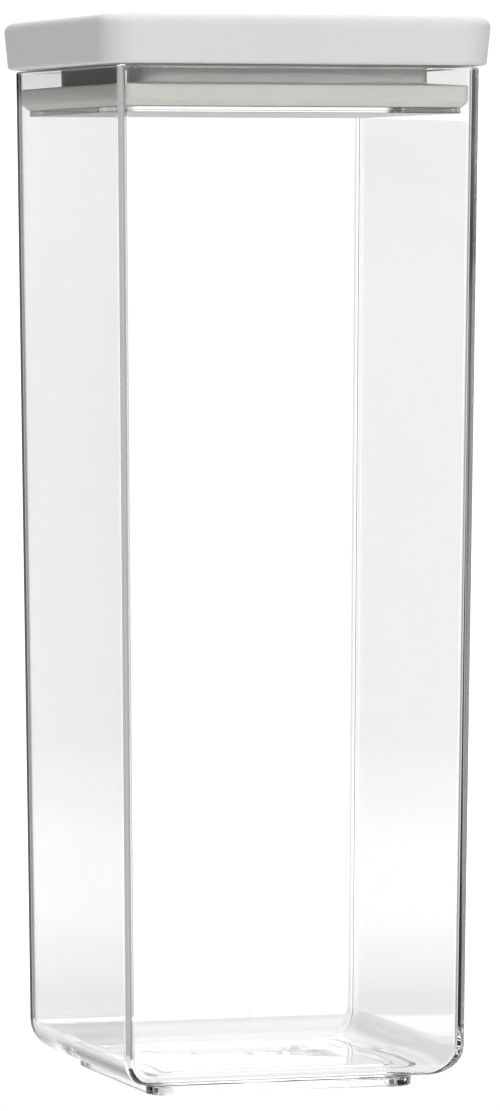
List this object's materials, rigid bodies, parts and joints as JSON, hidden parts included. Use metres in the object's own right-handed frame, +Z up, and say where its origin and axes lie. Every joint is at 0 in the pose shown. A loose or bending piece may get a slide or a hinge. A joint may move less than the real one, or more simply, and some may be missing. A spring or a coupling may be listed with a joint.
{
  "type": "storage container",
  "caption": "Tall square clear plastic storage container on an inset stacking foot, with a light grey lift-off lid: cap, square plug, clear retainer plate and silicone wiper seal.",
  "frame": {"origin": "bottom centre of the foot the container stands on", "axes": "+Z up, along the container's height and the way the lid lifts; the front face looks along -Y and +X is to its right"},
  "size_m": [0.1134, 0.1134, 0.2986],
  "materials": {
    "clear_plastic": "clear polished injection-moulded plastic, slightly soft mould lines",
    "grey_plastic": "light grey satin moulded plastic",
    "warm_grey_silicone": "warm grey matt silicone"
  },
  "bodies": {
    "container": {"container_body": "clear_plastic"},
    "lid": {"lid_cap": "grey_plastic", "lid_plug": "grey_plastic", "seal_retainer": "clear_plastic", "lid_seal": "warm_grey_silicone"}
  },
  "joints": [
    {"name": "lid_lift", "type": "slide", "parent": "container", "child": "lid", "axis": [0, 0, 1], "range_m": [0, 0.06]}
  ]
}
